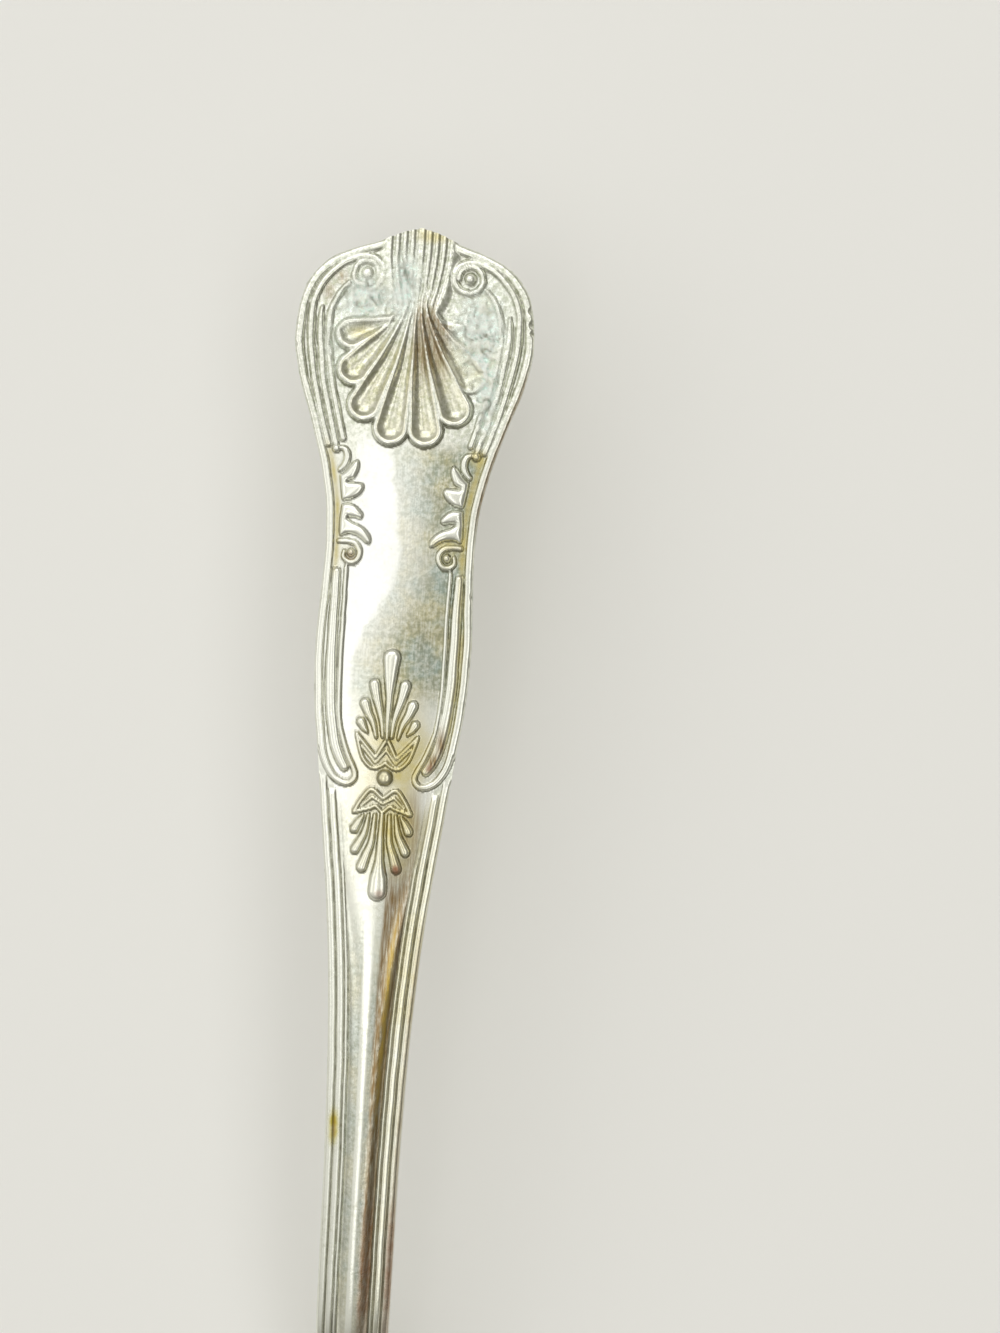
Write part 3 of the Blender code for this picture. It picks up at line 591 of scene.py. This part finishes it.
def lay_over(tree, under, over, pattern, spread, where=1.0):
    """Lays a colour over another, thin to thick as a pattern rises from start to end, where a mark is."""
    start, end, thin, thick = spread
    share = add(tree, "ShaderNodeMapRange", {
        "Value": pattern, "From Min": start, "From Max": end, "To Min": thin, "To Max": thick})
    share = add(tree, "ShaderNodeMath", {0: where, 1: share}, operation="MULTIPLY", use_clamp=True)
    return add(tree, "ShaderNodeMix", {0: share, 6: under, 7: over}, data_type="RGBA")


clouded = add(tree, "ShaderNodeMapRange", {"Value": cloud, "From Min": 0.45, "From Max": 0.7})
colour = lay_over(tree, linear("#f2f3e9"), linear("#d5d6c2"), speckle, (0.45, 0.7, 0, 1), clouded)
colour = lay_over(tree, colour, linear("#b7bea5"), speckle, (0.42, 0.64, 0, 0.75), mark["on_head"])
# The film's colours, which serve both as tarnish and as painted shade.
film_and_shade_colour = lay_over(tree, linear("#c7c19b"), linear("#a6b4ab"), cloud, (0.42, 0.58, 0, 1))
film_and_shade_colour = lay_over(tree, film_and_shade_colour, linear("#9c9c86"), blotch, (0.42, 0.66, 0, 0.7))
film_and_shade_colour = lay_over(tree, film_and_shade_colour, linear("#83886f"), speckle, (0.46, 0.62, 0, 0.5))
streaked = add(tree, "ShaderNodeMapRange", {
    "Value": streaks, "From Min": 0.35, "From Max": 0.65, "To Min": -0.2, "To Max": 0.15})
speckled = add(tree, "ShaderNodeMapRange", {
    "Value": speckle, "From Min": 0.34, "From Max": 0.6, "To Min": 0.6, "To Max": 1.05})
worn = add(tree, "ShaderNodeMath", {0: streaked, 1: speckled}, operation="ADD", use_clamp=True)
# The film: tarnish, and painted shade on the field's right half, on the petals' flanks and on the stem beside
# its highlight.
colour = lay_over(tree, colour, film_and_shade_colour, worn, (0, 1, 0, 1), mark["tarnish"])
chalk = lay_over(tree, linear("#d9f4ea"), linear("#f8fffa"), speckle, (0.38, 0.5, 0, 1))
chalk = lay_over(tree, chalk, linear("#e6e6c4"), blotch, (0.5, 0.65, 0, 0.5))
chalk = lay_over(tree, chalk, linear("#a3a684"), speckle, (0.58, 0.7, 0, 0.4))
colour = lay_over(tree, colour, chalk, blotch, (0.3, 0.6, 0.75, 1), mark["corroded"])
# Tints: the whiter tint on the field's left is cleaner plate and a painted highlight; the brown, gold and
# rust tints down the stem's right are partly a painted reflection of a brown room.
for name, tint, strength, pattern in (
    ("clean_and_highlit", "#f8f9f6", 0.9, blotch), ("crest", "#f8f8ee", 0.6, blotch), ("amber", "#d5c67c", 0.85, blotch),
    ("brown_film_and_reflection", "#8f7752", 0.95, streaks), ("gold_reflection", "#d8ba60", 0.9, streaks),
    ("verdigris", "#c9bb34", 1.4, blotch), ("rust_and_reflection", "#8c5335", 1.0, blotch),
):
    colour = lay_over(
        tree, colour, linear(tint), pattern, (0.3, 0.7, 0.45 * strength, 1.2 * strength), mark[name])
# Olive over the recesses as tarnish, and over steep walls and sides facing right and down as painted shade.
colour = lay_over(tree, colour, linear("#75725c"), speckle, (0.3, 0.7, 0.6, 1), mark["hollow"])
tree.links.new(colour, shader.inputs["Base Color"])
crumbs = add(tree, "ShaderNodeMapRange", {"Value": speckle, "From Min": 0.36, "From Max": 0.5})
salts = add(tree, "ShaderNodeMath", {0: mark["corroded"], 1: crumbs}, operation="MULTIPLY", use_clamp=True)
salts = add(tree, "ShaderNodeMath", {0: salts, 1: mark["verdigris"]}, operation="MAXIMUM")
metal = add(tree, "ShaderNodeMapRange", {
    "Value": salts, "From Min": 0.0, "From Max": 0.9, "To Min": 1.0, "To Max": 0.05})
tree.links.new(metal, shader.inputs["Metallic"])
rough = add(tree, "ShaderNodeMapRange", {
    "Value": speckle, "From Min": 0.3, "From Max": 0.7, "To Min": 0.12, "To Max": 0.22})
for name, more in (("corroded", 0.16), ("tarnish", 0.05), ("verdigris", 0.3), ("rust_and_reflection", 0.2), ("hollow", 0.2)):
    rough = add(tree, "ShaderNodeMath", {0: mark[name], 1: more, 2: rough}, operation="MULTIPLY_ADD")
tree.links.new(rough, shader.inputs["Roughness"])
bump = add(tree, "ShaderNodeBump", {"Height": scratches, "Strength": 0.15, "Distance": 0.02 * MM})
bump = add(tree, "ShaderNodeBump", {"Height": grain, "Strength": 0.25, "Distance": 0.02 * MM, "Normal": bump})
pits = add(tree, "ShaderNodeMath", {0: speckle, 1: mark["pitted"]}, operation="MULTIPLY", use_clamp=True)
bump = add(tree, "ShaderNodeBump", {"Height": pits, "Strength": 0.6, "Distance": 0.25 * MM, "Normal": bump})
tree.links.new(bump, shader.inputs["Normal"])

handle = bpy.data.objects.new("handle_struck", mesh)
bpy.context.scene.collection.objects.link(handle)
mesh.materials.append(plate)
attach(handle, "root")
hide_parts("handle")

# Blade: sheet of the same metal, cut to a trowel shape, ground to a thin edge all round and plated.
# It is riveted under the palm, and its underside is flat.
BLADE_LENGTH = 120.0
BLADE_WIDTH = 56.0
BLADE_EDGE = 0.6
BLADE_BEVEL = 3.2
BLADE_LIFT = 0.02
BEVEL_STEPS = 6
RIM_ROUND = 0.12
RIM_DEGREES = 40
SIDE_POINTS = 180

half = BLADE_WIDTH / 2
tip_y = -TOTAL_LENGTH / 2
heel_y = tip_y + BLADE_LENGTH
side = [
    (0, heel_y), (0.2 * half, heel_y - 1.2), (0.5 * half, heel_y - 8), (0.88 * half, heel_y - 20),
    (half, heel_y - 36), (0.84 * half, heel_y - 64), (0.55 * half, heel_y - 93), (0.25 * half, tip_y + 6),
    (0, tip_y),
]
mirrored = [(-side[1][0], side[1][1]), *side, (-side[-2][0], side[-2][1])]
right_edge = curve_points(mirrored, 60)[60:-60]
right_edge = right_edge[np.linspace(0, len(right_edge) - 1, SIDE_POINTS + 1).astype(int)]
right_edge[:, 0] *= half / right_edge[:, 0].max()
ring = np.vstack((right_edge[:-1], (right_edge * (-1, 1))[:0:-1]))[::-1]
bm = bmesh.new()
bmesh.ops.create_circle(bm, cap_ends=True, segments=len(ring), radius=1)
bm.verts.ensure_lookup_table()
for v, (x, y) in zip(bm.verts, ring):
    v.co = (x * MM, y * MM, BLADE_LIFT * MM)
raised = bmesh.ops.extrude_face_region(bm, geom=bm.faces[:])["geom"]
top = [f for f in raised if isinstance(f, bmesh.types.BMFace)]
top_points = [v for v in raised if isinstance(v, bmesh.types.BMVert)]
bmesh.ops.translate(bm, verts=top_points, vec=(0, 0, (BLADE_EDGE - BLADE_LIFT) * MM))
climb = [math.sin(math.pi / 2 * k / BEVEL_STEPS) for k in range(BEVEL_STEPS + 1)]
for low, high in zip(climb, climb[1:]):
    bmesh.ops.inset_region(
        bm, faces=top, thickness=BLADE_BEVEL / BEVEL_STEPS * MM,
        depth=(high - low) * (BLADE_THICKNESS - BLADE_EDGE) * MM, use_even_offset=True,
    )
bmesh.ops.recalc_face_normals(bm, faces=bm.faces[:])
rims = [e for e in bm.edges if e.calc_face_angle(0) > math.radians(RIM_DEGREES)]
bmesh.ops.bevel(
    bm, geom=rims, offset=RIM_ROUND * MM, offset_type="OFFSET", segments=2, profile=0.5, affect="EDGES",
    material=-1,
)
blade_mesh = bpy.data.meshes.new("blade_plate")
bm.to_mesh(blade_mesh)
bm.free()
blade_mesh.shade_smooth()

# Silver plate, polished and used: a clear grey mirror with fine cut marks and faint clouds of tarnish.
BLADE_CLOUD_MM = 14
BLADE_FRECKLE_MM = 1.2
CUT_WIDTH_MM = 0.12
blade_material, tree, shader = new_material("silver_plate_polished")
place = add(tree, "ShaderNodeTexCoord", {}).node.outputs["Object"]
cloud, freckle = (
    add(tree, "ShaderNodeTexNoise", {
        "Vector": place, "Scale": 1 / (size * MM), "Detail": 5, "Roughness": roughness})
    for size, roughness in ((BLADE_CLOUD_MM, 0.6), (BLADE_FRECKLE_MM, 0.65))
)
colour = lay_over(tree, linear("#eeece4"), linear("#dcd7c5"), cloud, (0.45, 0.7, 0, 1))
spots = add(tree, "ShaderNodeMapRange", {"Value": freckle, "From Min": 0.6, "From Max": 0.72, "To Max": 0.6})
colour = add(tree, "ShaderNodeMix", {0: spots, 6: colour, 7: linear("#9c9a88")}, data_type="RGBA")
tree.links.new(colour, shader.inputs["Base Color"])
shader.inputs["Metallic"].default_value = 1.0
rough = add(tree, "ShaderNodeMapRange", {
    "Value": cloud, "From Min": 0.3, "From Max": 0.7, "To Min": 0.14, "To Max": 0.26})
rough = add(tree, "ShaderNodeMath", {0: spots, 1: 0.2, 2: rough}, operation="MULTIPLY_ADD")
tree.links.new(rough, shader.inputs["Roughness"])
bump = None
for degrees, length in ((8, 30.0), (-35, 14.0), (70, 9.0)):
    stretched = add(tree, "ShaderNodeMapping", {
        "Vector": place, "Rotation": (0, 0, math.radians(degrees)),
        "Scale": (1 / (CUT_WIDTH_MM * MM), 1 / (length * MM), 1 / (CUT_WIDTH_MM * MM))})
    cuts = add(tree, "ShaderNodeTexNoise", {"Vector": stretched, "Scale": 1.0, "Detail": 1})
    settings = {"Height": cuts, "Strength": 0.12, "Distance": 0.02 * MM}
    bump = add(tree, "ShaderNodeBump", settings | ({"Normal": bump} if bump else {}))
tree.links.new(bump, shader.inputs["Normal"])

blade = bpy.data.objects.new("blade_plate", blade_mesh)
bpy.context.scene.collection.objects.link(blade)
blade_mesh.materials.append(blade_material)
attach(blade, "root")
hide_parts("blade")

# Rivets: turned nickel silver, round heads on the palm, feet hammered into countersinks in the blade's
# underside and filed flush.
RIVET_HEAD_RADIUS = 2.2
RIVET_SHANK_RADIUS = 1.2
RIVET_HEAD_HEIGHT = 0.95
RIVET_FOOT_RADIUS = 2.0
RIVET_FOOT_HEIGHT = 0.8
RIVET_FOOT_BREAK = 0.1
RIVET_RIM = 0.15
RIVET_SINK = 0.2
RIVET_STEPS = 48
RIVET_PLACES = (
    ("rivet_left", -4.6, heel_y - 10), ("rivet_right", 4.6, heel_y - 10), ("rivet_front", 0, heel_y - 20.5)
)

# Nickel silver off the lathe: a warmer grey than the plate, with fine rings round each head.
RINGS_PER_MM = 14
RIVET_FRECKLE_MM = 0.6
rivet_material, tree, shader = new_material("nickel_silver_turned")
ring_place = add(tree, "ShaderNodeAttribute", {}, attribute_name="ring").node.outputs["Fac"]
rings = add(tree, "ShaderNodeTexNoise", {
    "W": ring_place, "Scale": RINGS_PER_MM, "Detail": 3}, noise_dimensions="1D")
place = add(tree, "ShaderNodeTexCoord", {}).node.outputs["Object"]
freckle = add(tree, "ShaderNodeTexNoise", {
    "Vector": place, "Scale": 1 / (RIVET_FRECKLE_MM * MM), "Detail": 4})
colour = lay_over(tree, linear("#e0d9c6"), linear("#b3a988"), freckle, (0.4, 0.7, 0, 1))
tree.links.new(colour, shader.inputs["Base Color"])
shader.inputs["Metallic"].default_value = 1.0
rough = add(tree, "ShaderNodeMapRange", {
    "Value": rings, "From Min": 0.3, "From Max": 0.7, "To Min": 0.2, "To Max": 0.36})
tree.links.new(rough, shader.inputs["Roughness"])
bump = add(tree, "ShaderNodeBump", {"Height": rings, "Strength": 0.2, "Distance": 0.03 * MM})
tree.links.new(bump, shader.inputs["Normal"])

for name, x, y in RIVET_PLACES:
    at = np.interp(-y, -path_y, path_s)
    share = smooth_through(EDGE_SHARE, at)
    dome = share + (1 - share) * (1 - (x / half_width(at)) ** 2)
    seat = np.interp(at, path_s, path_z) + smooth_through(THICKNESS, at) / 2 * dome
    profile = [
        (RIVET_HEAD_RADIUS * math.sin(a), seat + RIVET_RIM + (RIVET_HEAD_HEIGHT - RIVET_RIM) * math.cos(a))
        for a in np.linspace(0, math.pi / 2, 12)
    ]
    profile += [
        (RIVET_HEAD_RADIUS, seat - RIVET_SINK), (RIVET_SHANK_RADIUS, seat - RIVET_SINK),
        (RIVET_SHANK_RADIUS, RIVET_FOOT_HEIGHT), (RIVET_FOOT_RADIUS, RIVET_FOOT_BREAK / 2),
        (RIVET_FOOT_RADIUS - RIVET_FOOT_BREAK, 0), (0, 0),
    ]
    bm = bmesh.new()
    line = [bm.verts.new(((x + r) * MM, y * MM, z * MM)) for r, z in profile]
    edges = [bm.edges.new(pair) for pair in zip(line, line[1:])]
    bmesh.ops.spin(
        bm, geom=line + edges, cent=(x * MM, y * MM, 0), axis=(0, 0, 1), angle=2 * math.pi,
        steps=RIVET_STEPS, use_merge=True,
    )
    bmesh.ops.remove_doubles(bm, verts=bm.verts[:], dist=0.001 * MM)
    bmesh.ops.recalc_face_normals(bm, faces=bm.faces[:])
    rivet_mesh = bpy.data.meshes.new(name + "_turned")
    bm.to_mesh(rivet_mesh)
    bm.free()
    rivet_mesh.shade_smooth()
    rivet_mesh.set_sharp_from_angle(angle=math.radians(RIM_DEGREES))
    radii = [math.hypot(v.co.x / MM - x, v.co.y / MM - y) for v in rivet_mesh.vertices]
    rivet_mesh.attributes.new("ring", "FLOAT", "POINT").data.foreach_set("value", radii)
    rivet_mesh.materials.append(rivet_material)
    rivet = bpy.data.objects.new(name + "_turned", rivet_mesh)
    bpy.context.scene.collection.objects.link(rivet)
    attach(rivet, "root")
    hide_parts(name)

# Floor: a plain table top, painted a matt off-white, so wide that its far edge lies out of sight in the
# room's pale walls. The server lies on it.
FLOOR_HALF_METRES = 6.0
floor_bm = bmesh.new()
bmesh.ops.create_grid(floor_bm, x_segments=1, y_segments=1, size=FLOOR_HALF_METRES)
floor_mesh = bpy.data.meshes.new("floor")
floor_bm.to_mesh(floor_mesh)
floor_bm.free()
floor = bpy.data.objects.new("floor", floor_mesh)
bpy.context.scene.collection.objects.link(floor)
floor_material, tree, shader = new_material("pale_table")
shader.inputs["Base Color"].default_value = linear("#f6f5f2")
shader.inputs["Roughness"].default_value = 0.7
floor_mesh.materials.append(floor_material)

# Light: a room with pale walls, brightest overhead to the left and dimmer to the right, with a long soft
# box over the left of the handle and weaker ones over its stem, past its end and to both sides.
BRIGHTEST_WAY = (-0.45, 0.22, 0.866)
HANDLE_POINT = Vector((0, 0.08, 0.02))
world = bpy.data.worlds.new("room")
bpy.context.scene.world = world
world.use_nodes = True
tree = world.node_tree
way = add(tree, "ShaderNodeTexCoord", {}).node.outputs["Generated"]
toward = add(tree, "ShaderNodeVectorMath", {0: way, 1: BRIGHTEST_WAY}, operation="DOT_PRODUCT")
lit = toward.node.outputs["Value"]
colour = lay_over(tree, linear("#66645d"), linear("#a3a29a"), lit, (-0.6, 0.35, 0, 1))
colour = lay_over(tree, colour, linear("#f2f1ec"), lit, (0.35, 0.95, 0, 1))
upward = add(tree, "ShaderNodeSeparateXYZ", {"Vector": way}).node.outputs["Z"]
colour = lay_over(tree, linear("#c9c7c0"), colour, upward, (0.08, 0.25, 0, 1))
background = tree.nodes["Background"]
tree.links.new(colour, background.inputs["Color"])
background.inputs["Strength"].default_value = 1.0


def soft_box(name, toward, long_way, distance, size, watts):
    """A rectangular lamp that faces the handle from a way and a distance in metres."""
    away = Vector(toward).normalized()
    wide_way = Vector(long_way).cross(away).normalized()
    turned = Matrix((wide_way, away.cross(wide_way), away)).transposed().to_4x4()
    lamp = bpy.data.lights.new(name, "AREA")
    lamp.shape = "RECTANGLE"
    lamp.size, lamp.size_y = size
    lamp.energy = watts
    box = bpy.data.objects.new(name, lamp)
    bpy.context.scene.collection.objects.link(box)
    box.matrix_world = Matrix.Translation(HANDLE_POINT + away * distance) @ turned


soft_box("key_left", (-0.176, 0.052, 1), (0.34, 0.94, 0), 0.7, (0.17, 0.6), 0.11)
soft_box("over_stem", (-0.22, -0.42, 1), (0.1, 1, 0), 0.75, (0.14, 0.39), 0.1)
soft_box("past_the_end", (-0.15, 1, 0.95), (1, 0, 0), 0.9, (0.6, 0.9), 1.4)
soft_box("far_left", (-1, 0.1, 0.8), (0, 1, 0), 0.9, (0.4, 0.8), 0.4)
soft_box("fill_right", (0.5, -0.15, 1), (0, 1, 0), 0.9, (0.3, 1.0), 0.8)

# Camera: over the handle, level with its face, as close as a hand-held picture.
PIXEL_MM = 0.1
FRAME_HEIGHT_PIXELS = 1333
CAMERA_DISTANCE = 0.30
TARGET = Vector((10.77, TOTAL_LENGTH / 2 - 43.2, 20.5)) * MM
ROLL = math.radians(3.79)
LEAN_ACROSS = math.radians(1.5)
LEAN_ALONG = math.radians(3.0)
camera_data = bpy.data.cameras.new("camera")
camera_data.angle = 2 * math.atan(FRAME_HEIGHT_PIXELS * PIXEL_MM * MM / 2 / CAMERA_DISTANCE)
camera = bpy.data.objects.new("camera", camera_data)
bpy.context.scene.collection.objects.link(camera)
back_way = Vector((math.sin(LEAN_ACROSS), math.sin(LEAN_ALONG), 1)).normalized()
side_way = Vector((-math.sin(ROLL), math.cos(ROLL), 0)).cross(back_way).normalized()
up_way = back_way.cross(side_way)
turned = Matrix((side_way, up_way, back_way)).transposed().to_4x4()
camera.matrix_world = Matrix.Translation(TARGET + back_way * CAMERA_DISTANCE) @ turned
bpy.context.scene.camera = camera
bpy.context.scene.view_settings.view_transform = "Standard"
